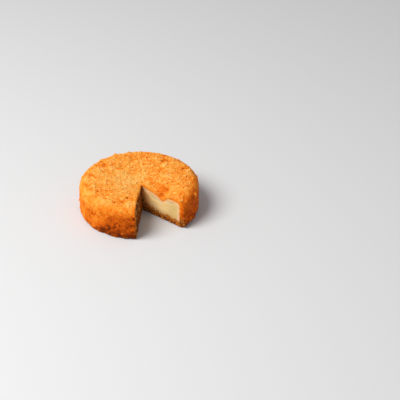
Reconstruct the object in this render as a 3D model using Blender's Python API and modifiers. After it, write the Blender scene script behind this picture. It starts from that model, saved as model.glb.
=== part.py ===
"""A small soft cheese, breaded and baked whole, with one slice cut out of it.

A thick coat of breadcrumbs goes all round a flat round cheese. The slice left two
upright cut faces, where the cheese shows inside the coat. The crust has sunk a
little in the middle, and it bends down along the right-hand cut, deepest at one
place. The origin is the middle of the underside, and the slice points to -Y.
"""

import math
import random

import bmesh
import bpy
from mathutils import Matrix, Vector, noise
from mathutils.noise import voronoi

MM = 0.001

# The whole cheese, to the mean surface of its crumbs
RADIUS = 54.6 * MM
HEIGHT = 32.4 * MM
TOP_ROUND = 9.0 * MM
FOOT_ROUND = 8.0 * MM
FOOT_SUNK = 2.2 * MM  # how far the rounded foot would go on below the flat underside

# The coat's thickness, down to the cheese inside
COAT_TOP = 3.3 * MM
COAT_SIDE = 5.4 * MM
COAT_FOOT_EDGE = 2.8 * MM
COAT_FOOT_MIDDLE = 5.8 * MM
CORE_ROUND = 3.5 * MM
CORE_FOOT_ROUND = 2.4 * MM
GAP = 0.3 * MM  # left between the cheese and the coat

# The slice: where its point was, and the directions of its two cuts
SLICE_POINT = Vector((2.3 * MM, -2.0 * MM))
LEFT_CUT = math.radians(-94.8)
RIGHT_CUT = math.radians(-41.0)
SLICE_REACH = 90 * MM

# How the crust has sunk
DISH_DEPTH = 5.0 * MM
DISH_RADIUS = 37 * MM
BEND_AT_POINT = 1.0 * MM
BEND_FURTHER_OUT = 5.2 * MM
BEND_GROWS_OVER = 20 * MM
BEND_WIDTH = 12 * MM
DIP_DEPTH = 5.4 * MM
DIP_PLACE = 25.6 * MM  # along the right cut from the slice's point
DIP_LENGTH = 5.0 * MM
DIP_WIDTH = 6.0 * MM

# The crumbs: relief all over, and the larger ones that stand out of it
FACET = 3.1 * MM
SWELL_SIZE = 11 * MM
SWELL_DEPTH = 0.8 * MM
GRAIN_SIZE = 5.6 * MM
GRAIN_DEPTH = 3.0 * MM
CRUMB_SPACING = 11.4 * MM
CRUMB_LOWEST = 2 * MM
CRUMB_RADIUS = (1.5 * MM, 2.4 * MM)
CRUMB_STRETCH = (1.0, 1.6)
CRUMB_FLATNESS = 0.6
CRUMB_ROUGHNESS = 0.22
CRUMB_SEED = 5

# How finely the round forms are divided
BODY_STEPS = 120
CORE_STEPS = 72
CORE_RINGS = 13  # across the flat top
CORE_FOOT_SHARES = (0.94, 0.88, 0.8, 0.7, 0.5, 0)  # where the underside has its rings
CORE_KEPT = 0.38  # share of the faces that stays

# Colours, as linear values, and finish
COAT_COLOUR = (0.78, 0.27, 0.045, 1)
COAT_ROUGHNESS = 0.8
CHEESE_COLOUR = (0.85, 0.66, 0.36, 1)
CHEESE_ROUGHNESS = 0.45
SHARP_ANGLE = math.radians(35)


def clear_scene():
    for item in list(bpy.data.objects):
        bpy.data.objects.remove(item)


def new_collection(name):
    collection = bpy.data.collections.new(name)
    bpy.context.scene.collection.children.link(collection)
    return collection


def new_object(name, mesh, collection):
    item = bpy.data.objects.new(name, mesh)
    collection.objects.link(item)
    return item


def new_material(name, colour, roughness):
    material = bpy.data.materials.new(name)
    material.use_nodes = True
    shader = material.node_tree.nodes["Principled BSDF"]
    shader.inputs["Base Color"].default_value = colour
    shader.inputs["Roughness"].default_value = roughness
    shader.inputs["Metallic"].default_value = 0
    return material


def apply_modifiers(item):
    """Replaces the object's mesh by what its modifiers make of it."""
    graph = bpy.context.evaluated_depsgraph_get()
    mesh = bpy.data.meshes.new_from_object(item.evaluated_get(graph))
    item.modifiers.clear()
    item.data = mesh


def make_cutter(item):
    item.hide_render = True
    item.display_type = "WIRE"


def add_boolean(item, name, operation, other):
    """A Boolean with an object, or with all the objects of a collection."""
    boolean = item.modifiers.new(name, "BOOLEAN")
    boolean.operation = operation
    boolean.solver = "EXACT"
    if isinstance(other, bpy.types.Collection):
        boolean.operand_type = "COLLECTION"
        boolean.collection = other
    else:
        boolean.object = other


def arc(centre_x, centre_z, radius, start, end, points):
    """Points of an arc in the XZ plane, from one angle in degrees to another."""
    for step in range(points):
        angle = math.radians(start + (end - start) * step / (points - 1))
        yield centre_x + radius * math.cos(angle), centre_z + radius * math.sin(angle)


def turned(name, profile, steps, collection):
    """A profile of (x, z) points, listed from the top down, turned about Z."""
    mesh = bpy.data.meshes.new(name)
    edges = [(i, i + 1) for i in range(len(profile) - 1)]
    mesh.from_pydata([(x, 0, z) for x, z in profile], edges, [])
    item = new_object(name, mesh, collection)
    screw = item.modifiers.new("Turn", "SCREW")
    screw.axis = "Z"
    screw.steps = screw.render_steps = steps
    screw.use_merge_vertices = True
    screw.merge_threshold = 0.01 * MM
    apply_modifiers(item)
    return item


def smooth_step(value):
    value = min(max(value, 0), 1)
    return value * value * (3 - 2 * value)


def sunk(x, y):
    """How far the crust has sunk at a place: a dish in the middle, and the bend at the right-hand cut."""
    dish = DISH_DEPTH * (1 - smooth_step(math.hypot(x, y) / DISH_RADIUS))
    out_x = x - SLICE_POINT.x
    out_y = y - SLICE_POINT.y
    along = out_x * math.cos(RIGHT_CUT) + out_y * math.sin(RIGHT_CUT)
    beside = abs(out_y * math.cos(RIGHT_CUT) - out_x * math.sin(RIGHT_CUT))
    bend = BEND_AT_POINT + (BEND_FURTHER_OUT - BEND_AT_POINT) * smooth_step(along / BEND_GROWS_OVER)
    bend *= math.exp(-((beside / BEND_WIDTH) ** 2)) * smooth_step(1 + along / DIP_WIDTH)
    dip = DIP_DEPTH * math.exp(-(((along - DIP_PLACE) / DIP_LENGTH) ** 2) - (beside / DIP_WIDTH) ** 2)
    return dish + bend + dip


def relief(point):
    """How far the crumbs stand out at a point: a slow swell, and grains that touch like cobbles."""
    nearest = voronoi(point / GRAIN_SIZE)[0][0]
    return SWELL_DEPTH * noise.noise(point / SWELL_SIZE) + GRAIN_DEPTH * (0.5 - nearest)


def sink(mesh):
    """Lowers every point in step with its height, so that the underside stays where it is."""
    for vertex in mesh.vertices:
        vertex.co.z -= sunk(vertex.co.x, vertex.co.y) * max(vertex.co.z, 0) / HEIGHT


def make_body(collection):
    """The outside of the coat as one closed form, rough with crumbs, with no slice out of it yet."""
    foot_centre = FOOT_ROUND - FOOT_SUNK
    profile = [(0, HEIGHT)]
    profile += arc(RADIUS - TOP_ROUND, HEIGHT - TOP_ROUND, TOP_ROUND, 90, 0, points=9)
    profile += arc(RADIUS - FOOT_ROUND, foot_centre, FOOT_ROUND, 0, -90, points=7)
    profile += [(0, -FOOT_SUNK)]
    body = turned("crumb_coat", profile, BODY_STEPS, collection)
    remesh = body.modifiers.new("Facets", "REMESH")
    remesh.mode = "VOXEL"
    remesh.voxel_size = FACET
    apply_modifiers(body)
    for vertex in body.data.vertices:
        vertex.co += vertex.normal * relief(vertex.co)
    sink(body.data)
    body.modifiers.new("Flat facets", "TRIANGULATE")
    apply_modifiers(body)
    return body


def make_core(collection):
    """The cheese inside the coat, still whole, with a slightly hollow underside."""
    radius = RADIUS - COAT_SIDE
    top = HEIGHT - COAT_TOP
    flat = radius - CORE_ROUND
    foot_flat = radius - CORE_FOOT_ROUND
    profile = [(flat * ring / CORE_RINGS, top) for ring in range(CORE_RINGS)]
    profile += arc(flat, top - CORE_ROUND, CORE_ROUND, 90, 0, points=6)
    profile += arc(foot_flat, COAT_FOOT_EDGE + CORE_FOOT_ROUND, CORE_FOOT_ROUND, 0, -90, points=4)
    for share in CORE_FOOT_SHARES:
        lift = (COAT_FOOT_MIDDLE - COAT_FOOT_EDGE) * (1 - share**6)
        profile.append((foot_flat * share, COAT_FOOT_EDGE + lift))
    core = turned("cheese", profile, CORE_STEPS, collection)
    sink(core.data)
    decimate = core.modifiers.new("Fewer faces", "DECIMATE")
    decimate.ratio = CORE_KEPT
    apply_modifiers(core)
    return core


def make_hollow(core, collection):
    """The room for the cheese in the coat: the cheese's own form, one gap larger."""
    hollow = new_object("hollow", core.data.copy(), collection)
    grow = hollow.modifiers.new("Gap", "DISPLACE")
    grow.mid_level = 0
    grow.strength = GAP
    apply_modifiers(hollow)
    make_cutter(hollow)
    return hollow


def make_slice(collection):
    """The slice taken out: an upright wedge that reaches past the outside."""
    outline = [SLICE_POINT]
    for direction in (LEFT_CUT, RIGHT_CUT):
        reach = Vector((math.cos(direction), math.sin(direction))) * SLICE_REACH
        outline.append(SLICE_POINT + reach)
    bm = bmesh.new()
    face = bm.faces.new([bm.verts.new((point.x, point.y, -HEIGHT)) for point in outline])
    walls = bmesh.ops.extrude_face_region(bm, geom=[face])["geom"]
    raised = [item for item in walls if isinstance(item, bmesh.types.BMVert)]
    bmesh.ops.translate(bm, vec=(0, 0, 3 * HEIGHT), verts=raised)
    bmesh.ops.recalc_face_normals(bm, faces=bm.faces)
    mesh = bpy.data.meshes.new("slice")
    bm.to_mesh(mesh)
    bm.free()
    wedge = new_object("slice", mesh, collection)
    make_cutter(wedge)
    return wedge


def make_ground(collection):
    """All that lies below the flat underside."""
    bm = bmesh.new()
    side = 4 * RADIUS
    place = Matrix.Translation((0, 0, -side / 2)) @ Matrix.Scale(side, 4)
    bmesh.ops.create_cube(bm, size=1, matrix=place)
    mesh = bpy.data.meshes.new("ground")
    bm.to_mesh(mesh)
    bm.free()
    ground = new_object("ground", mesh, collection)
    make_cutter(ground)
    return ground


def crumb_places(body, chance):
    """Faces of the top and side in a random order, each kept if no kept one is near it."""
    faces = [face for face in body.data.polygons if face.center.z > CRUMB_LOWEST]
    chance.shuffle(faces)
    places = []
    for face in faces:
        if all((face.center - other).length > CRUMB_SPACING for other, _ in places):
            places.append((face.center.copy(), face.normal.copy()))
    return places


def make_crumbs(body, collection):
    """The larger crumbs: uneven, flattened grains, half sunk in the coat."""
    chance = random.Random(CRUMB_SEED)
    for number, (place, normal) in enumerate(crumb_places(body, chance)):
        bm = bmesh.new()
        bmesh.ops.create_icosphere(bm, subdivisions=1, radius=chance.uniform(*CRUMB_RADIUS))
        for vertex in bm.verts:
            vertex.co *= 1 + chance.uniform(-CRUMB_ROUGHNESS, CRUMB_ROUGHNESS)
        shape = Matrix.Diagonal((chance.uniform(*CRUMB_STRETCH), 1, CRUMB_FLATNESS, 1))
        spin = Matrix.Rotation(chance.uniform(0, math.tau), 4, "Z")
        upright = normal.to_track_quat("Z", "Y").to_matrix().to_4x4()
        bm.transform(Matrix.Translation(place) @ upright @ spin @ shape)
        mesh = bpy.data.meshes.new("crumb")
        bm.to_mesh(mesh)
        bm.free()
        new_object(f"crumb_{number}", mesh, collection)


def fuse(item, collection):
    """Joins all the collection's objects to the item, and removes them."""
    add_boolean(item, "Crumbs", "UNION", collection)
    apply_modifiers(item)
    for part in list(collection.objects):
        bpy.data.objects.remove(part)
    bpy.data.collections.remove(collection)


def finish(item, material):
    item.data.materials.clear()
    item.data.materials.append(material)
    item.data.shade_smooth()
    item.data.set_sharp_from_angle(angle=SHARP_ANGLE)


clear_scene()
parts = new_collection("baked_cheese")
cutters = new_collection("cutters")

cheese = make_core(parts)
coat = make_body(parts)
crumbs = new_collection("crumbs")
make_crumbs(coat, crumbs)
fuse(coat, crumbs)

slice_cutter = make_slice(cutters)
add_boolean(coat, "Room for the cheese", "DIFFERENCE", make_hollow(cheese, cutters))
add_boolean(coat, "Slice", "DIFFERENCE", slice_cutter)
add_boolean(coat, "Flat underside", "DIFFERENCE", make_ground(cutters))
add_boolean(cheese, "Slice", "DIFFERENCE", slice_cutter)

finish(coat, new_material("baked_crumbs", COAT_COLOUR, COAT_ROUGHNESS))
finish(cheese, new_material("soft_cheese", CHEESE_COLOUR, CHEESE_ROUGHNESS))
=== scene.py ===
import math

import bmesh
import bpy
import numpy as np
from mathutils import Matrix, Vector, noise


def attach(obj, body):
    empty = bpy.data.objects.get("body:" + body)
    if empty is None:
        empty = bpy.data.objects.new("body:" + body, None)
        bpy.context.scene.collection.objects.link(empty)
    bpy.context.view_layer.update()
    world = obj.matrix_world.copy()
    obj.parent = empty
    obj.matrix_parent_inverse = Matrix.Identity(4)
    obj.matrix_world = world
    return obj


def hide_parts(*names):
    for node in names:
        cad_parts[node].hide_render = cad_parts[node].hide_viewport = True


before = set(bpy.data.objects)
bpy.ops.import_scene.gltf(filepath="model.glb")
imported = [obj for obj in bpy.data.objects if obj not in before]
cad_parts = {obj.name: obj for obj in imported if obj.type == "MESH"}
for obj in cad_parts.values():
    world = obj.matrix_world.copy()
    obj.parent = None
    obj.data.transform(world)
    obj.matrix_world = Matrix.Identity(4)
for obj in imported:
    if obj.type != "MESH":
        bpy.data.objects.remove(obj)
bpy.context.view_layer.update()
MM = 0.001

# Soft cheese. A low round of pale paste in its own thin rind, ripened whole and then baked soft in
# the crust: its top has sunk in the middle and along the right-hand cut, where a slice was cut out
# right through. A thin gap has opened under the rind there.
RADIUS, HEIGHT = 54.6 * MM, 32.4 * MM  # of the whole, over the crust
CRUST_TOP, CRUST_SIDE = 3.3 * MM, 5.4 * MM
CRUST_FOOT_EDGE, CRUST_FOOT_MIDDLE = 2.8 * MM, 5.8 * MM
CHEESE_RADIUS, CHEESE_TOP = RADIUS - CRUST_SIDE, HEIGHT - CRUST_TOP
CHEESE_ROUND, CHEESE_FOOT_ROUND = 3.5 * MM, 2.4 * MM
SLICE_POINT = (2.3 * MM, -2.0 * MM)
LEFT_CUT, RIGHT_CUT = math.radians(-94.8), math.radians(-41.0)
DISH_DEPTH, DISH_RADIUS = 5.0 * MM, 37 * MM
BEND_AT_POINT, BEND_FURTHER_OUT = 0.4 * MM, 5.2 * MM
BEND_GROWS_OVER, BEND_WIDTH = 20 * MM, 12 * MM
DIP_DEPTH, DIP_PLACE = 5.4 * MM, 25.6 * MM  # the place is along the right-hand cut
DIP_LENGTH, DIP_WIDTH = 5.0 * MM, 6.0 * MM
CHEESE_DETAIL = 0.5 * MM
CHEESE_KEPT = 0.3  # share of the faces that stays
CUT_KEPT = 2 * MM  # all of them stay this close to a cut
FACE_REACH = 0.45 * MM  # what lies this close to a cut belongs to its face
RIND_PLACES = (0, 8, 12, 18, 24, 27, 35, 43, 50)  # mm along a cut
RIND_DEPTHS = (2.4, 3.0, 4.0, 4.6, 3.0, 1.8, 3.5, 2.5, 2.2)  # mm
RIND_AT_SIDE = 2.3 * MM
RIND_EDGE, SIDE_RIND_EDGE = 0.9 * MM, 1.2 * MM  # over which the rind turns to paste
WAVER_SIZE, RIND_WAVER, SIDE_RIND_WAVER = 5 * MM, 0.5 * MM, 0.4 * MM
GAP_PLACES = (15 * MM, 35 * MM)  # near the slice's point, and under the arch further out
GAP_LENGTH, GAP_THICKNESS, GAP_DEPTH = 4 * MM, 0.5 * MM, 0.5 * MM
STAIN_DEPTH, STAIN_EDGE = 2.4 * MM, 1.5 * MM  # of the crust's colour in the rind
SIDE_STAIN_DEPTH, SIDE_STAIN_EDGE = 1.5 * MM, 1.0 * MM
BULGE, BULGE_INSET, BULGE_GROWS_OVER = 0.7 * MM, 6 * MM, 8 * MM  # of the paste out of a cut
RIND_HOLDS = 0.7  # how much less the rind bulges
WAVES_SIZE, WAVES_DEPTH = 4 * MM, 0.22 * MM  # left by the knife
RIPPLES_SIZE, RIPPLES_DEPTH = 1.1 * MM, 0.07 * MM
LOW_SHADE_SHARE, LOW_SHADE_REACH = 0.85, 10 * MM  # where the paste is painted darker and more orange just above the crust below it: painted shade
# Near the slice's point the paste is painted warm orange: painted shade with warm bounce light
POINT_WARM_SHADE_SHARE, POINT_WARM_SHADE_REACH = 0.9, 16 * MM
# Further out along a cut the paste is painted darker: painted shade
OUTER_SHADE_FROM, OUTER_SHADE_OVER = 22 * MM, 18 * MM
CLINGING_UP_TO, CLINGING_WAVER, CLINGING_EDGE = 3.3 * MM, 0.7 * MM, 0.8 * MM
CLINGING_AT_POINT, CLINGING_POINT_REACH = 2.6 * MM, 15 * MM  # how much higher, and how far out
CLINGING_ON_LEFT = 0.22
# The left-hand cut face is painted dark brown: painted shade in the slice's gap
LEFT_SHADE, LEFT_SHADE_WAVER = 1.2, 0.5
LEFT_CRUMB_SHADE, LEFT_CRUMB_OUTER = 1.4, 0.65  # how browned the left-hand face's crumbs are painted, and how much like the crust's outside: painted shade
CORNER_SHADE_LEFT, CORNER_SHADE_RIGHT = 26 * MM, 6 * MM  # how far the painted shade in the slice's corner reaches
CORNER_SHADE_TOP, CORNER_SHADE_EDGE = 20 * MM, 10 * MM  # on the right


def smooth_step(value):
    """0 below 0 and 1 above 1, with a soft rise between."""
    value = np.clip(value, 0, 1)
    return value * value * (3 - 2 * value)


def rise(value, start, over):
    """0 up to the start, and 1 beyond the length that it rises over."""
    return smooth_step((value - start) / over)


def fall(value, end, over):
    """0 beyond the end, and 1 short of the length that it falls over."""
    return smooth_step((end - value) / over)


def fade(distance, length):
    """1 at no distance, and 0 beyond the length."""
    return smooth_step(1 - distance / length)


def hill(distance, width):
    """1 at no distance, and soon nothing beyond the width."""
    return np.exp(-((distance / width) ** 2))


def beside_cut(points, direction):
    """How far points are along a cut from the slice's point, and how far to its left."""
    out_x = points[:, 0] - SLICE_POINT[0]
    out_y = points[:, 1] - SLICE_POINT[1]
    along = out_x * math.cos(direction) + out_y * math.sin(direction)
    left = out_y * math.cos(direction) - out_x * math.sin(direction)
    return along, left


def from_cuts(points):
    """How far points are from the left and the right cut, each with the way out of its face."""
    cuts = []
    for direction, side in ((LEFT_CUT, -1), (RIGHT_CUT, 1)):
        along, left = beside_cut(points, direction)
        way_out = Vector((side * math.sin(direction), -side * math.cos(direction), 0))
        cuts.append((np.hypot(left, np.minimum(along, 0)), way_out))
    return cuts


def from_nearer_cut(points):
    (left, _), (right, _) = from_cuts(points)
    return np.minimum(left, right)


def sunk(points):
    """How far the top has sunk: a dish in the middle, and a bend and a dip at the right-hand cut."""
    middle = np.hypot(points[:, 0], points[:, 1])
    dish = DISH_DEPTH * (1 - smooth_step(middle / DISH_RADIUS))
    along, left = beside_cut(points, RIGHT_CUT)
    beside = np.abs(left)
    bend = BEND_AT_POINT + (BEND_FURTHER_OUT - BEND_AT_POINT) * smooth_step(along / BEND_GROWS_OVER)
    bend *= hill(beside, BEND_WIDTH) * smooth_step(1 + along / DIP_WIDTH)
    dip = DIP_DEPTH * np.exp(-(((along - DIP_PLACE) / DIP_LENGTH) ** 2) - (beside / DIP_WIDTH) ** 2)
    return dish + bend + dip


def inside_round(points, radius, top, top_round, foot, foot_round):
    """How deep points lie inside a round with rounded edges, and the way out from there."""
    reach = np.hypot(points[:, 0], points[:, 1])
    radial = points[:, :2] / np.maximum(reach, 1e-9)[:, None]
    upper_out = np.maximum(reach - (radius - top_round), 0)
    upper_up = np.maximum(points[:, 2] - (top - top_round), 0)
    lower_out = np.maximum(reach - (radius - foot_round), 0)
    lower_down = np.maximum(foot + foot_round - points[:, 2], 0)
    under_top = top_round - np.hypot(upper_out, upper_up)
    over_foot = foot_round - np.hypot(lower_out, lower_down)
    lower = over_foot < under_top
    out = np.where(lower, lower_out, upper_out)
    way_out = np.column_stack([radial * out[:, None], np.where(lower, -lower_down, upper_up)])
    way_out /= np.maximum(np.linalg.norm(way_out, axis=1), 1e-9)[:, None]
    return np.minimum(under_top, over_foot), way_out


def points_of(mesh):
    flat = np.empty(len(mesh.vertices) * 3, np.float32)
    mesh.vertices.foreach_get("co", flat)
    return flat.reshape(-1, 3).astype(float)


def move_points(mesh, points):
    mesh.vertices.foreach_set("co", points.astype(np.float32).ravel())
    mesh.update()


def store(mesh, **named):
    """Keeps numbers for each vertex, by name, for the materials and the crumbs to read."""
    for name, values in named.items():
        attribute = mesh.attributes.new(name, "FLOAT", "POINT")
        attribute.data.foreach_set("value", np.asarray(values, np.float32))


def sampled(pattern, points, size, offset=0):
    """A noise pattern's value at each point, for features of the given size."""
    return np.array([pattern(Vector(point) / size + Vector((offset, 0, 0))) for point in points])


def new_piece(name, data):
    piece = bpy.data.objects.new(name, data)
    bpy.context.scene.collection.objects.link(piece)
    return piece


def apply_modifiers(piece):
    graph = bpy.context.evaluated_depsgraph_get()
    mesh = bpy.data.meshes.new_from_object(piece.evaluated_get(graph))
    piece.modifiers.clear()
    piece.data = mesh


def arc(centre_x, centre_z, radius, start, end, points):
    """Points of an arc in the XZ plane, from one angle in degrees to another."""
    for step in range(points):
        angle = math.radians(start + (end - start) * step / (points - 1))
        yield centre_x + radius * math.cos(angle), centre_z + radius * math.sin(angle)


def turned(name, profile, steps):
    """A profile of (x, z) points, listed from the top down, turned about Z."""
    mesh = bpy.data.meshes.new(name)
    edges = [(i, i + 1) for i in range(len(profile) - 1)]
    mesh.from_pydata([(x, 0, z) for x, z in profile], edges, [])
    piece = new_piece(name, mesh)
    screw = piece.modifiers.new("Turn", "SCREW")
    screw.axis = "Z"
    screw.steps = screw.render_steps = steps
    screw.use_merge_vertices = True
    screw.merge_threshold = 0.01 * MM
    apply_modifiers(piece)
    return piece


def foot_lift(share):
    """How much thicker the crust under the cheese is than at its edge, at a share of the way out."""
    return (CRUST_FOOT_MIDDLE - CRUST_FOOT_EDGE) * (1 - share**6)


def cheese_form(name, less=0):
    """The whole cheese before it sinks, or the room for it in the crust when that is a little less."""
    radius, top = CHEESE_RADIUS - less, CHEESE_TOP - less
    foot, foot_flat = CRUST_FOOT_EDGE + less, radius - CHEESE_FOOT_ROUND
    profile = [(0, top)]
    profile += arc(radius - CHEESE_ROUND, top - CHEESE_ROUND, CHEESE_ROUND, 90, 0, points=10)
    profile += arc(foot_flat, foot + CHEESE_FOOT_ROUND, CHEESE_FOOT_ROUND, 0, -90, points=8)
    for share in (0.94, 0.88, 0.8, 0.7, 0.5, 0):
        profile.append((foot_flat * share, foot + foot_lift(share)))
    return turned(name, profile, steps=160)


def slice_form():
    """The slice that was taken out: an upright wedge that reaches past the outside."""
    reach = 2 * RADIUS
    outline = [SLICE_POINT]
    for direction in (LEFT_CUT, RIGHT_CUT):
        outline.append((
            SLICE_POINT[0] + reach * math.cos(direction),
            SLICE_POINT[1] + reach * math.sin(direction),
        ))
    bm = bmesh.new()
    face = bm.faces.new([bm.verts.new((x, y, -HEIGHT)) for x, y in outline])
    walls = bmesh.ops.extrude_face_region(bm, geom=[face])["geom"]
    raised = [item for item in walls if isinstance(item, bmesh.types.BMVert)]
    bmesh.ops.translate(bm, vec=(0, 0, 3 * HEIGHT), verts=raised)
    bmesh.ops.recalc_face_normals(bm, faces=bm.faces)
    mesh = bpy.data.meshes.new("slice")
    bm.to_mesh(mesh)
    bm.free()
    return new_piece("slice", mesh)


def take_away(piece, *cutters):
    for cutter in cutters:
        boolean = piece.modifiers.new(cutter.name, "BOOLEAN")
        boolean.solver = "EXACT"
        boolean.object = cutter


def fine_mesh(piece, size):
    """Gives the piece even faces of one size, and applies all its modifiers."""
    remesh = piece.modifiers.new("Even faces", "REMESH")
    remesh.mode = "VOXEL"
    remesh.voxel_size = size
    apply_modifiers(piece)


def thin_out(piece, hidden, kept):
    """Merges faces at the hidden points, until the given share of all faces is left."""
    group = piece.vertex_groups.new(name="hidden")
    for index in np.flatnonzero(hidden):
        group.add([int(index)], 1.0, "REPLACE")
    decimate = piece.modifiers.new("Fewer faces", "DECIMATE")
    decimate.ratio = kept
    decimate.vertex_group = group.name
    decimate.use_collapse_triangulate = True
    apply_modifiers(piece)
    piece.vertex_groups.clear()


slice_cutter = slice_form()
cheese = cheese_form("soft_cheese")
take_away(cheese, slice_cutter)
fine_mesh(cheese, CHEESE_DETAIL)
thin_out(cheese, from_nearer_cut(points_of(cheese.data)) > CUT_KEPT, CHEESE_KEPT)

points = points_of(cheese.data)
whole_depth, _ = inside_round(
    points, CHEESE_RADIUS, CHEESE_TOP, CHEESE_ROUND, CRUST_FOOT_EDGE, CHEESE_FOOT_ROUND
)
settled = points.copy()
settled[:, 2] -= sunk(points) * np.maximum(points[:, 2], 0) / HEIGHT
under_top = (CHEESE_TOP - points[:, 2]) * (1 - sunk(points) / HEIGHT)
from_middle = np.hypot(points[:, 0], points[:, 1])
from_side = CHEESE_RADIUS - from_middle
along = np.hypot(points[:, 0] - SLICE_POINT[0], points[:, 1] - SLICE_POINT[1])

# The rind, the gap under it, and the crust's colour that has soaked into it
waver = sampled(noise.noise, settled, WAVER_SIZE)
rind_depth = np.interp(along / MM, RIND_PLACES, RIND_DEPTHS) * MM + RIND_WAVER * waver
side_rind = RIND_AT_SIDE + SIDE_RIND_WAVER * waver
rind = np.maximum(
    smooth_step(0.5 + (rind_depth - under_top) / RIND_EDGE),
    smooth_step(0.5 + (side_rind - from_side) / SIDE_RIND_EDGE),
)
gap_open = sum(hill(along - middle, GAP_LENGTH) for middle in GAP_PLACES)
gap = gap_open * hill(under_top - rind_depth, GAP_THICKNESS)
stain = np.maximum(
    fall(under_top, STAIN_DEPTH, STAIN_EDGE), fall(from_side, SIDE_STAIN_DEPTH, SIDE_STAIN_EDGE)
)

# The cut faces: the soft paste bulges out between its rinds, and the knife has left it uneven
for distance, way_out in from_cuts(points):
    face = distance < FACE_REACH
    swell = BULGE * smooth_step(whole_depth / BULGE_INSET) * smooth_step(along / BULGE_GROWS_OVER)
    unevenness = WAVES_DEPTH * sampled(noise.noise, settled[face], WAVES_SIZE)
    unevenness += RIPPLES_DEPTH * sampled(noise.noise, settled[face], RIPPLES_SIZE)
    out = swell[face] * (1 - RIND_HOLDS * rind[face]) + unevenness - GAP_DEPTH * gap[face]
    settled[face] += out[:, None] * np.array(way_out)
move_points(cheese.data, settled)

# The crust's torn crumbs cling above its layer under the cheese, higher near the slice's point.
# The left-hand face is painted dark brown, and its crumbs browned: painted shade.
coat_under = CRUST_FOOT_EDGE + foot_lift(
    np.clip(from_middle / (CHEESE_RADIUS - CHEESE_FOOT_ROUND), 0, 1)
)
clinging_up_to = CLINGING_UP_TO + CLINGING_AT_POINT * fade(along, CLINGING_POINT_REACH)
clinging_up_to = clinging_up_to + CLINGING_WAVER * waver
clinging = smooth_step((coat_under + clinging_up_to - points[:, 2]) / CLINGING_EDGE + 0.5)
on_left = from_cuts(points)[0][0] < 2 * FACE_REACH
clinging = np.maximum(clinging, CLINGING_ON_LEFT * on_left)
# Painted shade in the slice's corner: near-black over the left-hand face near the point, and low down on
# the right-hand face right by the point
corner_shade_low_share = np.where(on_left, 1, fall(points[:, 2], CORNER_SHADE_TOP, CORNER_SHADE_EDGE))
store(
    cheese.data,
    rind=rind,
    gap=gap,
    stain=stain,
    by_coat=LOW_SHADE_SHARE * fade(points[:, 2] - coat_under, LOW_SHADE_REACH),
    at_point=POINT_WARM_SHADE_SHARE * fade(along, POINT_WARM_SHADE_REACH),
    outer=rise(along, OUTER_SHADE_FROM, OUTER_SHADE_OVER),
    dragged=on_left * (LEFT_SHADE + LEFT_SHADE_WAVER * waver),
    in_corner=corner_shade_low_share * fade(along, np.where(on_left, CORNER_SHADE_LEFT, CORNER_SHADE_RIGHT)),
    clinging=clinging * (from_nearer_cut(points) < FACE_REACH),
    inside=1 - LEFT_CRUMB_OUTER * on_left,
    browned=LEFT_CRUMB_SHADE * on_left,
)
cheese.data.shade_smooth()


def feed(node, inputs):
    """Links or sets a node's inputs."""
    for name, value in inputs.items():
        if isinstance(value, Wire):
            node.id_data.links.new(value.socket, node.inputs[name])
        else:
            node.inputs[name].default_value = value


class Wire:
    """An output in a node tree: sums on it add Math nodes, and node() adds any node."""

    def __init__(self, tree, socket=None):
        self.tree = tree
        self.socket = socket

    def node(self, kind, settings=None, inputs=None, output=0):
        node = self.tree.nodes.new(kind)
        for name, value in (settings or {}).items():
            if name == "stops":
                ramp = node.color_ramp
                while len(ramp.elements) < len(value):
                    ramp.elements.new(1)
                for element, (position, colour) in zip(ramp.elements, value):
                    element.position = position
                    element.color = (*colour, 1)
            else:
                setattr(node, name, value)
        feed(node, inputs or {})
        return Wire(self.tree, node.outputs[output])

    def attribute(self, name):
        """What store() kept under the name."""
        return self.node("ShaderNodeAttribute", {"attribute_name": name}, output="Fac")

    def pattern(self, place, scale, detail):
        """Cloudy noise, with the scale in features to the metre."""
        inputs = {"Vector": place, "Scale": scale, "Detail": detail}
        return self.node("ShaderNodeTexNoise", {}, inputs)

    def math(self, operation, *values):
        return self.node("ShaderNodeMath", {"operation": operation}, dict(enumerate(values)))

    def mix(self, share, first, second, blend="MIX"):
        """Two colours mixed, with the second's share."""
        settings = {"data_type": "RGBA", "blend_type": blend}
        return self.node("ShaderNodeMix", settings, {0: share, 6: first, 7: second}, output=2)

    def clamped(self):
        return self.node("ShaderNodeClamp", {}, {"Value": self})

    def __add__(self, other):
        return self.math("ADD", self, other)

    __radd__ = __add__

    def __sub__(self, other):
        return self.math("SUBTRACT", self, other)

    def __rsub__(self, other):
        return self.math("SUBTRACT", other, self)

    def __mul__(self, other):
        return self.math("MULTIPLY", self, other)

    __rmul__ = __mul__

    def __truediv__(self, other):
        return self.math("DIVIDE", self, other)

    def __rtruediv__(self, other):
        return self.math("DIVIDE", other, self)


def new_material(name):
    """An empty material, its node tree and its Principled shader."""
    material = bpy.data.materials.new(name)
    material.use_nodes = True
    wire = Wire(material.node_tree)
    return material, wire, material.node_tree.nodes["Principled BSDF"]


def dress(piece, material):
    piece.data.materials.clear()
    piece.data.materials.append(material)


PASTE_COLOUR = (0.96, 0.69, 0.31, 1)
PASTE_SHADE = (0.90, 0.61, 0.255, 1)
PASTE_OUTER_SHADE = (0.69, 0.47, 0.18, 1)
PASTE_LOW_SHADE = (0.54, 0.28, 0.085, 1)
PASTE_POINT_WARM_SHADE = (0.98, 0.37, 0.085, 1)
LEFT_SHADE_COLOUR, LEFT_SHADE_MOTTLE = (0.44, 0.20, 0.05, 1), 0.4
CORNER_SHADE_COLOUR = (0.13, 0.038, 0.006, 1)
RIND_COLOUR = (0.74, 0.48, 0.23, 1)
RIND_PALE = (0.84, 0.64, 0.37, 1)
STAIN_COLOUR, STAIN_SHARE = (0.88, 0.40, 0.13, 1), 0.75
GAP_SHADE_COLOUR, GAP_SHADE_SHARE = (0.42, 0.33, 0.17, 1), 0.8
CLOUD_SCALE, GRAIN_SCALE = 160, 1400

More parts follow.
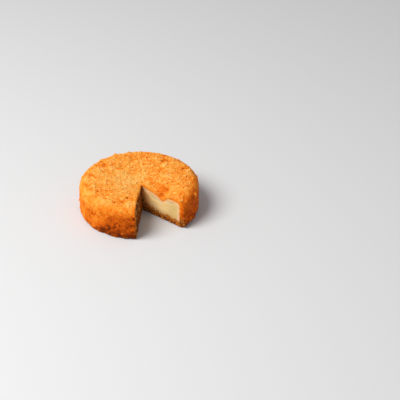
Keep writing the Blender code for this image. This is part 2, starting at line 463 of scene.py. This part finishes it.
cheese_material, wire, shader = new_material("soft_cheese")
place = wire.node("ShaderNodeTexCoord", output="Object")
rind_mask = wire.attribute("rind")
left_shade_mask = wire.attribute("dragged")
clouds = wire.pattern(place, CLOUD_SCALE, detail=3)
grain = wire.pattern(place, GRAIN_SCALE, detail=3)
paste = wire.mix(clouds, PASTE_SHADE, PASTE_COLOUR)
# Further out along a cut the paste is painted darker: painted shade
paste = wire.mix(wire.attribute("outer"), paste, PASTE_OUTER_SHADE)
# Just above the crust the paste is painted darker and more orange: painted shade
paste = wire.mix(wire.attribute("by_coat"), paste, PASTE_LOW_SHADE)
# Near the slice's point the paste is painted warm orange: painted shade with warm bounce light
paste = wire.mix(wire.attribute("at_point"), paste, PASTE_POINT_WARM_SHADE)
colour = wire.mix(rind_mask, paste, wire.mix(clouds, RIND_COLOUR, RIND_PALE))
colour = wire.mix(wire.attribute("stain") * STAIN_SHARE, colour, STAIN_COLOUR)
# The gap under the rind is painted dark: painted shade in the groove
colour = wire.mix(wire.attribute("gap").clamped() * GAP_SHADE_SHARE, colour, GAP_SHADE_COLOUR)
# The left-hand cut face is painted dark brown: painted shade
left_shade_share = (left_shade_mask + (clouds - 0.5) * LEFT_SHADE_MOTTLE).clamped()
colour = wire.mix(left_shade_share, colour, LEFT_SHADE_COLOUR)
# The slice's corner is painted near-black: painted shade
colour = wire.mix(wire.attribute("in_corner"), colour, CORNER_SHADE_COLOUR)
bump = wire.node("ShaderNodeBump", {}, {"Height": grain, "Strength": 0.25, "Distance": 0.15 * MM})
feed(shader, {
    "Base Color": colour,
    "Roughness": 0.42 + 0.2 * rind_mask + 0.1 * clouds + 0.3 * left_shade_mask,
    "Normal": bump,
    "Specular IOR Level": 0.12,
    "Subsurface Weight": 0.35,
    "Subsurface Scale": 2.5 * MM,
    "Subsurface Radius": (1.0, 0.7, 0.35),
})
dress(cheese, cheese_material)
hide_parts("cheese")
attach(cheese, "root")

# Crust. A thick coat of breadcrumbs in egg, pressed on by hand all round and baked hard and golden.
# It is lumpy where crumbs crowd together and pitted between them, and browner low on its side, partly as
# painted shade; its pits and low places are painted more orange: painted shade.
TOP_ROUND, FOOT_ROUND, FOOT_SUNK = 9.0 * MM, 8.0 * MM, 2.2 * MM
CRUST_DETAIL = 0.55 * MM
CRUST_KEPT = 0.52  # share of the faces that stays
RELIEF_REACH = 2.4 * MM  # how deep in the crust its relief fades out
CRUST_LAP = 0.15 * MM  # how far the crust reaches into the cheese
SWELL_SIZE, SWELL_DEPTH = 11 * MM, 0.9 * MM
LUMP_SIZE, LUMP_DEPTH = 5.6 * MM, 0.9 * MM
GRAIN_SIZES = (3.4 * MM, 1.7 * MM)
GRAIN_DEPTHS = (1.1 * MM, 0.6 * MM)
WARP_SIZE, WARP_DEPTH = 3.5 * MM, 1.6 * MM  # so that the grains aren't round
PIT_SPACING, PIT_WIDTH, PIT_DEPTH = 5.0 * MM, 1.3 * MM, 0.8 * MM
RIM_CLUMPS = [(-36.3, 35.9, 30.6), (-23.6, 44.5, 31.0)]  # mm, where crumbs stand up in a clump
CLUMP_HEIGHT, CLUMP_REACH = 3.4 * MM, 1.9 * MM
SIDE_FROM, SIDE_OVER = 0.85 * RADIUS, 0.12 * RADIUS
SIDE_FOOT = 9 * MM  # where the side's smoothness ends in the rougher foot
SIDE_CALM = 0.87  # how much smoother the side is than the top
CUT_CALM, CUT_CALM_REACH = 0.05, 9 * MM  # relief left where the knife pressed at the left cut
TORN_GRAINS = ((3.1 * MM, 2.0 * MM, 7), (1.5 * MM, 0.8 * MM, 3))  # size, depth, place in the noise
TORN_TOP = 11 * MM  # the cut through the crust's foot, below here, is the most torn
TORN_ABOVE = 0.25  # how torn the rest is
RELIEF_RANGE = 2.4 * MM  # from the lowest to the highest colour
CLEAR_OF_FOOT, CLEAR_OF_CUT, CLEAR_EDGE = 0.5 * MM, 0.5 * MM, 1.2 * MM
CLEAR_OF_LEFT = 2 * MM
SIDE_SPARSE = 0.6  # how many fewer of the larger crumbs the side has
# Browning with painted shade: more on the side and low down in front, less on the lit left
BROWN_FROM, BROWN_OVER = 0.86 * RADIUS, 0.13 * RADIUS
SIDE_BROWN_AND_SHADE, LESS_ON_LEFT, LESS_ON_RIGHT, LESS_AT_BACK = 1.15, 0.75, 0.44, 0.35
SHOULDER_SHADE, SHOULDER_FROM, SHOULDER_OVER = 0.25, 16 * MM, 8 * MM  # painted shade, on the right only
FOOT_BANDS = (13 * MM, 5 * MM)
FOOT_BROWN_AND_SHADE, FOOT_LESS_ON_LEFT, FOOT_LESS_AT_BACK = 0.64, 0.55, 0.6
BROWN_HALF_WAY = 0.1
PALE_PLACE, PALE_REACH, PALER = (-13 * MM, 2 * MM), 30 * MM, 0.42  # where the top is least baked
PATCH_SIZE = 9 * MM
LIP_REACH, LIP_TOP, LIP_EDGE, LIP_LIGHT = 18 * MM, 15 * MM, 5 * MM, 0.55  # beside the left cut, painted light for its lit edge
MOST_BROWNED_AND_SHADED = 1.3
RED_TOP, RED_OVER, RED_FROM_CUT = 40 * MM, 25 * MM, 8 * MM  # of the right side, painted redder for its shade


def grains(points, size, offset=0):
    """Grains that touch like cobbles: about 0.5 on top of each, and below 0 between them."""
    nearest = sampled(lambda point: noise.voronoi(point)[0][0], points, size, offset)
    return 0.55 - np.sqrt(nearest**2 + 0.03)


def pits(points, spacing, width):
    """Scattered pits, 1 at the bottom of each, in half of the cells of a loose lattice."""
    deep = np.zeros(len(points))
    for index, point in enumerate(points):
        (nearest, *_), (centre, *_) = noise.voronoi(Vector(point) / spacing)
        if noise.noise(centre * 7.3) > 0:
            deep[index] = math.exp(-((nearest * spacing / width) ** 2))
    return deep


foot_centre = FOOT_ROUND - FOOT_SUNK
profile = [(0, HEIGHT)]
profile += arc(RADIUS - TOP_ROUND, HEIGHT - TOP_ROUND, TOP_ROUND, 90, 0, points=16)
profile += arc(RADIUS - FOOT_ROUND, foot_centre, FOOT_ROUND, 0, -90, points=14)
profile += [(0, -FOOT_SUNK)]
crust = turned("baked_crust", profile, steps=200)
room = cheese_form("room", less=CRUST_LAP)
take_away(crust, room, slice_cutter)
fine_mesh(crust, CRUST_DETAIL)
for cutter in (room, slice_cutter):
    bpy.data.objects.remove(cutter)

points = points_of(crust.data)
depth, _ = inside_round(points, RADIUS, HEIGHT, TOP_ROUND, -FOOT_SUNK, FOOT_ROUND)
deep_inside = (depth > RELIEF_REACH) & (from_nearer_cut(points) > 1.5 * MM)
thin_out(crust, deep_inside | (points[:, 2] < -0.8 * MM), CRUST_KEPT)

points = points_of(crust.data)
depth, way_out = inside_round(points, RADIUS, HEIGHT, TOP_ROUND, -FOOT_SUNK, FOOT_ROUND)
outer = fade(depth, RELIEF_REACH)

# Relief: swellings, lumps, grains and pits, weaker up the side and beside the left cut
warp = np.column_stack([sampled(noise.noise, points, WARP_SIZE, 10 * axis) for axis in range(3)])
warped = points + WARP_DEPTH * warp
lumps = SWELL_DEPTH * sampled(noise.noise, points, SWELL_SIZE) + LUMP_DEPTH * grains(points, LUMP_SIZE)
fine = sum(deep * grains(warped, size) for size, deep in zip(GRAIN_SIZES, GRAIN_DEPTHS))
pitted = pits(warped, PIT_SPACING, PIT_WIDTH)
relief = lumps + fine - PIT_DEPTH * pitted
for clump in RIM_CLUMPS:
    from_clump = np.linalg.norm(points - np.array(clump) * MM, axis=1)
    relief += CLUMP_HEIGHT * hill(from_clump, CLUMP_REACH)
(near_left, _), (near_right, _) = from_cuts(points)
near_cut = np.minimum(near_left, near_right)
from_middle = np.hypot(points[:, 0], points[:, 1])
up_side = rise(from_middle, SIDE_FROM, SIDE_OVER) * smooth_step(points[:, 2] / SIDE_FOOT)
calm = (1 - SIDE_CALM * up_side) * (CUT_CALM + (1 - CUT_CALM) * smooth_step(near_left / CUT_CALM_REACH))
settled = points + way_out * (outer * calm * relief)[:, None]

# The crust isn't cut clean: its cut faces are torn, most of all under the cheese
torn = sum(deep * grains(warped, size, offset) for size, deep, offset in TORN_GRAINS)
torn *= TORN_ABOVE + (1 - TORN_ABOVE) * fall(points[:, 2], TORN_TOP, 3 * MM)
torn *= smooth_step(points[:, 2] / (1.5 * MM))
on_cut = np.zeros(len(points))
for distance, cut_out in from_cuts(points):
    face = smooth_step(1.5 - distance / FACE_REACH)
    settled += (face * torn)[:, None] * np.array(cut_out)
    on_cut = np.maximum(on_cut, face)
settled[:, 2] -= sunk(settled) * np.maximum(settled[:, 2], 0) / HEIGHT
settled[:, 2] = np.maximum(settled[:, 2], 0)
move_points(crust.data, settled)

# Where crumbs sit: not on the underside, nor right beside a cut
x, y, z = settled.T
clear_of_cut = rise(near_cut, CLEAR_OF_CUT, CLEAR_EDGE) * smooth_step(near_left / CLEAR_OF_LEFT)
clear = outer * clear_of_cut * (z > CLEAR_OF_FOOT)
store(
    crust.data,
    shows=clear * (1 - SIDE_SPARSE * up_side),
    top_shows=clear * (1 - up_side),
    side_shows=clear * up_side,
    cut_shows=on_cut * (z > CLEAR_OF_FOOT) * (z < TORN_TOP),
)

# How browned it is, partly real browning and partly painted shade: its side, most of all low down
# in front where it is in shade, less on the lit left and at the back, more on the shaded right shoulder
on_side = rise(np.hypot(x, y), BROWN_FROM, BROWN_OVER)
on_left, on_right, at_back = smooth_step(-x / RADIUS), smooth_step(x / RADIUS), smooth_step(y / RADIUS)
browned = on_side * smooth_step(1.25 - z / HEIGHT)
browned *= SIDE_BROWN_AND_SHADE - LESS_ON_LEFT * on_left - LESS_ON_RIGHT * on_right
browned *= 1 - LESS_AT_BACK * at_back
browned += SHOULDER_SHADE * on_right * on_side * rise(z, SHOULDER_FROM, SHOULDER_OVER)
low_down = sum(fade(z, band) for band in FOOT_BANDS) * (1 - on_right)
low_down *= (1 - FOOT_LESS_ON_LEFT * on_left) * (1 - FOOT_LESS_AT_BACK * at_back)
browned += FOOT_BROWN_AND_SHADE * low_down
half_way = smooth_step(z / (14 * MM)) * smooth_step(1.3 - z / HEIGHT)
browned += BROWN_HALF_WAY * on_side * half_way * (1 - on_right)

# The paler places: on the top, and low down beside the left cut, painted light for its lit edge; the
# top's right is patchy
browned -= PALER * fade(np.hypot(x - PALE_PLACE[0], y - PALE_PLACE[1]), PALE_REACH)
patches = sampled(noise.noise, settled * (1, 1, 0.3), PATCH_SIZE, 4)
browned += smooth_step(x / (25 * MM)) * np.maximum(patches - 0.1, 0) * (1 - on_side)
browned -= LIP_LIGHT * fade(near_left, LIP_REACH) * fall(z, LIP_TOP, LIP_EDGE)
store(
    crust.data,
    height=np.clip(0.5 + (lumps + fine) / RELIEF_RANGE, 0, 1),
    pitted=pitted,
    inside=on_cut * fall(z, 12 * MM, 4 * MM),
    browned=np.minimum(browned, MOST_BROWNED_AND_SHADED),
    reddened=on_side * on_right * fall(z, RED_TOP, RED_OVER) * rise(near_cut, MM, RED_FROM_CUT),
    up_side=up_side,
)
crust.data.shade_smooth()

PALE_GOLD = (0.89, 0.46, 0.12)
GOLD = (0.87, 0.36, 0.06)
ORANGE = (0.84, 0.25, 0.018)
RUST = (0.74, 0.145, 0.004)
BROWN = (0.50, 0.08, 0.002)
DARK_BROWN = (0.17, 0.025, 0.001)
SHADE_REDDER = (1.0, 0.76, 0.5, 1)
BREAD_INSIDE, BREAD_SHADE = (0.50, 0.165, 0.024, 1), (0.19, 0.048, 0.005, 1)
BAKED = [
    (0.0, DARK_BROWN), (0.15, BROWN), (0.35, RUST), (0.55, ORANGE), (0.75, GOLD), (1.0, PALE_GOLD),
]
PATCH_SCALE, PATCH_SHARE, PATCH_LESS = 150, 0.4, 0.25  # less is how much weaker on the side
MOTTLE_SCALE, MOTTLE_SHARE, MOTTLE_LESS = 420, 0.6, 0.35
# Pits and low places are painted darker and more orange, and so is the crust between the crumbs: painted
# shade
PIT_SHADE, PIT_SHADE_LESS = 0.5, 0.25
OWN_LESS = 0.7
EVEN_BAKE, RELIEF_SHADE, BROWNED_AND_SHADED_BAKE, CRUST_BETWEEN_CRUMBS_SHADE = 0.47, 0.5, 0.55, -0.14
BREAD_MOTTLE, BREAD_OWN, BREAD_DARK = 2.2, 3.5, 0.6
SPECK_SCALE, ROUGH_SCALE = 700, 1800


def baked_colour(wire, place, own_share):
    """Golden where it stands up and orange in pits and low places, as painted shade; browner where
    browned and painted shaded, and plain bread at a cut.
    """
    reddened, up_side = wire.attribute("reddened"), wire.attribute("up_side")
    even = up_side - reddened
    patches = wire.pattern(place, PATCH_SCALE, detail=2)
    mottle = wire.pattern(place, MOTTLE_SCALE, detail=3)
    own_share = own_share * (1 - OWN_LESS * even)
    bake = wire.attribute("height") * RELIEF_SHADE + EVEN_BAKE + own_share
    bake = bake + (mottle - 0.5) * (MOTTLE_SHARE - MOTTLE_LESS * even)
    bake = bake + (patches - 0.5) * (PATCH_SHARE - PATCH_LESS * up_side)
    bake = bake - wire.attribute("pitted") * (PIT_SHADE - PIT_SHADE_LESS * up_side)
    bake = bake - wire.attribute("browned") * BROWNED_AND_SHADED_BAKE
    outer = wire.node("ShaderNodeValToRGB", {"stops": BAKED}, {"Fac": bake.clamped()}, output="Color")
    # The right side is painted redder: painted shade
    outer = wire.mix(reddened, outer, SHADE_REDDER, blend="MULTIPLY")
    bread = (mottle * BREAD_MOTTLE + own_share * BREAD_OWN - BREAD_DARK).clamped()
    bread = wire.mix(bread, BREAD_SHADE, BREAD_INSIDE)
    return wire.mix(wire.attribute("inside").clamped(), outer, bread)


crust_material, wire, shader = new_material("baked_crumbs")
place = wire.node("ShaderNodeTexCoord", output="Object")
specks = wire.node("ShaderNodeTexVoronoi", {}, {"Vector": place, "Scale": SPECK_SCALE})
grain = wire.pattern(place, ROUGH_SCALE, detail=4) - specks
feed(shader, {
    "Base Color": baked_colour(wire, place, CRUST_BETWEEN_CRUMBS_SHADE),
    "Roughness": 0.7,
    "Normal": wire.node(
        "ShaderNodeBump", {}, {"Height": grain, "Strength": 0.9, "Distance": 0.5 * MM}
    ),
    "Specular IOR Level": 0.05,
    "Subsurface Weight": 0.5,
    "Subsurface Scale": 1.2 * MM,
    "Subsurface Radius": (1.0, 0.45, 0.12),
})
dress(crust, crust_material)
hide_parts("crumb_coat")
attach(crust, "root")

# Crumbs. Torn, angular bits of dry bread stuck into the crust at every angle, from several
# millimetres long down to about half a millimetre, each baked to its own tone. The clinging ones
# were torn off by the knife and stick to the cut cheese.
CRUMB_STRETCH, CRUMB_TEARING, CRUMB_LEAN = 1.6, 0.6, 0.35
CRUMB_LOWEST = 0.05 * MM
CRUMB_KINDS = {
    "large_crumbs": dict(
        where="shows", spacing=7.0 * MM, smallest=1.6 * MM, largest=2.6 * MM,
        sunk=0.45, flatness=0.6, facets=3, seed=3,
    ),
    "flakes": dict(
        where="shows", spacing=2.4 * MM, smallest=1.1 * MM, largest=2.1 * MM,
        sunk=0.4, flatness=0.35, facets=2, seed=7,
    ),
    "small_crumbs": dict(
        where="shows", spacing=1.1 * MM, smallest=0.5 * MM, largest=0.9 * MM,
        sunk=0.5, flatness=0.5, facets=1, seed=11,
    ),
    "fine_top_crumbs": dict(
        where="top_shows", spacing=0.75 * MM, smallest=0.3 * MM, largest=0.5 * MM,
        sunk=0.4, flatness=0.65, facets=1, seed=23,
    ),
    "fine_side_crumbs": dict(
        where="side_shows", spacing=0.8 * MM, smallest=0.35 * MM, largest=0.65 * MM,
        sunk=0.4, flatness=0.6, facets=1, seed=29,
    ),
    "cut_crumbs": dict(
        where="cut_shows", spacing=1.9 * MM, smallest=0.6 * MM, largest=1.5 * MM,
        sunk=0.3, flatness=0.8, facets=2, seed=31,
    ),
    "clinging_crumbs": dict(
        where="clinging", spacing=0.9 * MM, smallest=0.6 * MM, largest=1.3 * MM,
        sunk=0.1, flatness=0.8, facets=2, seed=41,
    ),
}


def crumb_tree():
    """Crumbs on a surface, densest where the attribute is 1: torn balls, turned at random."""
    tree = bpy.data.node_groups.new("crumbs", "GeometryNodeTree")
    for kind, names in {
        "Geometry": ["Surface"],
        "Float": ["Spacing", "Smallest", "Largest", "Sunk", "Flatness", "Stretch", "Tearing", "Lean"],
        "Int": ["Facets", "Seed"],
        "String": ["Where"],
        "Material": ["Finish"],
    }.items():
        for name in names:
            tree.interface.new_socket(name, in_out="INPUT", socket_type="NodeSocket" + kind)
    tree.interface.new_socket("Crumbs", in_out="OUTPUT", socket_type="NodeSocketGeometry")

    wire = Wire(tree)
    inlet = tree.nodes.new("NodeGroupInput")
    given = {socket.name: Wire(tree, socket) for socket in inlet.outputs if socket.name}
    where = {"Name": given["Where"]}
    shows = wire.node("GeometryNodeInputNamedAttribute", {"data_type": "FLOAT"}, where)
    # More points than there is room for, so that the spacing sets how many are left
    most = 1.2 * given["Spacing"].math("POWER", given["Spacing"], -2.0)
    scatter = {"Mesh": given["Surface"], "Distance Min": given["Spacing"], "Density Max": most}
    scatter.update({"Density Factor": shows, "Seed": given["Seed"]})
    spots = wire.node("GeometryNodeDistributePointsOnFaces", {"distribute_method": "POISSON"}, scatter)
    normal, upright = (Wire(tree, spots.socket.node.outputs[name]) for name in ("Normal", "Rotation"))

    def chance(low, high, seed):
        inputs = {2: low, 3: high, "Seed": given["Seed"] + seed}
        return wire.node("FunctionNodeRandomValue", {"data_type": "FLOAT"}, inputs, output=1)

    lean = given["Lean"]
    tilt = wire.node("ShaderNodeCombineXYZ", {}, {
        0: chance(-1.0, 1.0, 1) * lean, 1: chance(-1.0, 1.0, 2) * lean, 2: chance(0.0, math.tau, 3),
    })
    turn = wire.node("FunctionNodeRotateRotation", {"rotation_space": "LOCAL"}, {
        "Rotation": upright, "Rotate By": wire.node("FunctionNodeEulerToRotation", {}, {"Euler": tilt}),
    })
    pick = chance(0.0, 1.0, 4)
    size = given["Smallest"] + (given["Largest"] - given["Smallest"]) * pick * pick
    length = size * (1 + (given["Stretch"] - 1) * chance(0.0, 1.0, 5))
    scale = wire.node("ShaderNodeCombineXYZ", {}, {0: length, 1: size, 2: size * given["Flatness"]})
    inward = {0: normal, "Scale": size * given["Sunk"] * -1}
    inward = wire.node("ShaderNodeVectorMath", {"operation": "SCALE"}, inward)
    spots = wire.node("GeometryNodeSetPosition", {}, {"Geometry": spots, "Offset": inward})
    ball = wire.node("GeometryNodeMeshIcoSphere", {}, {"Radius": 1.0, "Subdivisions": given["Facets"]})
    ball_place = wire.node("GeometryNodeInputPosition")
    ball_up = wire.node("ShaderNodeSeparateXYZ", {}, {0: ball_place}, output="Z")
    ball = wire.node(
        "GeometryNodeStoreNamedAttribute",
        {"data_type": "FLOAT", "domain": "POINT"},
        {"Geometry": ball, "Name": "rise", "Value": ball_up * 0.5 + 0.5},
    )
    crumbs = wire.node("GeometryNodeInstanceOnPoints", {}, {
        "Points": spots, "Instance": ball, "Rotation": turn, "Scale": scale,
    })
    for name, value in {"tone": chance(0.0, 1.0, 6), "size": size}.items():
        crumbs = wire.node(
            "GeometryNodeStoreNamedAttribute",
            {"data_type": "FLOAT", "domain": "INSTANCE"},
            {"Geometry": crumbs, "Name": name, "Value": value},
        )
    crumbs = wire.node("GeometryNodeRealizeInstances", {}, {"Geometry": crumbs})

    place = wire.node("GeometryNodeInputPosition")
    own_size = wire.node("GeometryNodeInputNamedAttribute", {"data_type": "FLOAT"}, {"Name": "size"})
    pattern = {"Vector": place, "Scale": 1.2 / given["Largest"], "Detail": 2.0}
    torn = wire.node("ShaderNodeTexNoise", {}, pattern, output="Color")
    centred = wire.node("ShaderNodeVectorMath", {"operation": "SUBTRACT"}, {0: torn, 1: (0.5, 0.5, 0.5)})
    amount = own_size * given["Tearing"] * 4
    offset = wire.node("ShaderNodeVectorMath", {"operation": "SCALE"}, {0: centred, "Scale": amount})
    crumbs = wire.node("GeometryNodeSetPosition", {}, {"Geometry": crumbs, "Offset": offset})
    # Nothing reaches below what the cheese stands on
    corners = wire.node("ShaderNodeSeparateXYZ", {}, {0: place})
    x, y, z = (Wire(tree, socket) for socket in corners.socket.node.outputs)
    rested = {0: x, 1: y, 2: z.math("MAXIMUM", z, CRUMB_LOWEST)}
    rested = wire.node("ShaderNodeCombineXYZ", {}, rested)
    crumbs = wire.node("GeometryNodeSetPosition", {}, {"Geometry": crumbs, "Position": rested})
    crumbs = wire.node("GeometryNodeSetShadeSmooth", {}, {"Geometry": crumbs, "Shade Smooth": False})
    crumbs = wire.node(
        "GeometryNodeSetMaterial", {}, {"Geometry": crumbs, "Material": given["Finish"]}
    )
    outlet = tree.nodes.new("NodeGroupOutput")
    tree.links.new(crumbs.socket, outlet.inputs["Crumbs"])
    return tree


def scattered(name, tree, carrier, **values):
    """What the tree makes on the carrier, as a mesh piece of its own."""
    modifier = carrier.modifiers.new(name, "NODES")
    modifier.node_group = tree
    for item in tree.interface.items_tree:
        if item.in_out == "INPUT" and item.name.lower() in values:
            modifier[item.identifier] = values[item.name.lower()]
    graph = bpy.context.evaluated_depsgraph_get()
    mesh = bpy.data.meshes.new_from_object(carrier.evaluated_get(graph))
    carrier.modifiers.remove(modifier)
    return new_piece(name, mesh)


CRUMB_GRAIN_SCALE = 2600
SCORCHED_FROM = 0.9  # tone beyond which a crumb is scorched
TONE_BAKE, CRUMB_UNDERSIDE_SHADE, CRUMB_DARK, SCORCHED_DARK = 0.18, 0.32, 0.2, 0.2

crumb_material, wire, shader = new_material("baked_crumb_bits")
place = wire.node("ShaderNodeTexCoord", output="Object")
tone, height = wire.attribute("tone"), wire.attribute("rise")
scorched = ((tone - SCORCHED_FROM) * 25).clamped()
# A crumb's lower side is painted darker and more orange: painted shade
own_share = tone * TONE_BAKE + height * CRUMB_UNDERSIDE_SHADE - CRUMB_DARK - scorched * SCORCHED_DARK
grain = wire.pattern(place, CRUMB_GRAIN_SCALE, detail=3)
feed(shader, {
    "Base Color": baked_colour(wire, place, own_share),
    "Roughness": 0.6 + 0.2 * tone,
    "Normal": wire.node(
        "ShaderNodeBump", {}, {"Height": grain, "Strength": 0.4, "Distance": 0.15 * MM}
    ),
    "Specular IOR Level": 0.05,
})

tree = crumb_tree()
for name, kind in CRUMB_KINDS.items():
    piece = scattered(
        name, tree, cheese if kind["where"] == "clinging" else crust, finish=crumb_material,
        stretch=CRUMB_STRETCH, tearing=CRUMB_TEARING, lean=CRUMB_LEAN, **kind,
    )
    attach(piece, "root")

# The stand: a plain pale floor, one broad soft lamp high on the left, even light from all round,
# and the camera, about 1.3 m away and looking down by about 32 degrees.
FLOOR_SIZE = 30.0
FLOOR_COLOUR = (0.64, 0.64, 0.64, 1)
LAMP_DIRECTION, LAMP_DISTANCE = (-0.54, -0.28, 0.79), 1.6
LAMP_SIZE, LAMP_WATTS = 1.1, 31
SKY_STRENGTH = 0.36
CAMERA_PLACE = (0.0495543, -1.0960781, 0.6834835)
CAMERA_TURN = (math.pi / 2 - 0.5519325, 0.0, -0.0057135)
LENS, SENSOR_WIDTH = 125.707, 36

bm = bmesh.new()
bmesh.ops.create_grid(bm, x_segments=1, y_segments=1, size=FLOOR_SIZE / 2)
mesh = bpy.data.meshes.new("floor")
bm.to_mesh(mesh)
bm.free()
floor = new_piece("floor", mesh)
floor_material, wire, shader = new_material("pale_floor")
feed(shader, {"Base Color": FLOOR_COLOUR, "Roughness": 0.9})
dress(floor, floor_material)

light = bpy.data.lights.new("key_lamp", "AREA")
light.shape = "DISK"
light.size = LAMP_SIZE
light.energy = LAMP_WATTS
lamp = new_piece("key_lamp", light)
away = Vector(LAMP_DIRECTION).normalized()
lamp.location = away * LAMP_DISTANCE
lamp.rotation_euler = away.to_track_quat("Z", "Y").to_euler()

world = bpy.data.worlds.new("soft_light")
world.use_nodes = True
feed(world.node_tree.nodes["Background"], {"Color": (1, 1, 1, 1), "Strength": SKY_STRENGTH})
bpy.context.scene.world = world
bpy.context.scene.view_settings.view_transform = "Standard"

view = bpy.data.cameras.new("camera")
view.sensor_width = SENSOR_WIDTH
view.lens = LENS
camera = new_piece("camera", view)
camera.location = CAMERA_PLACE
camera.rotation_euler = CAMERA_TURN
bpy.context.scene.camera = camera
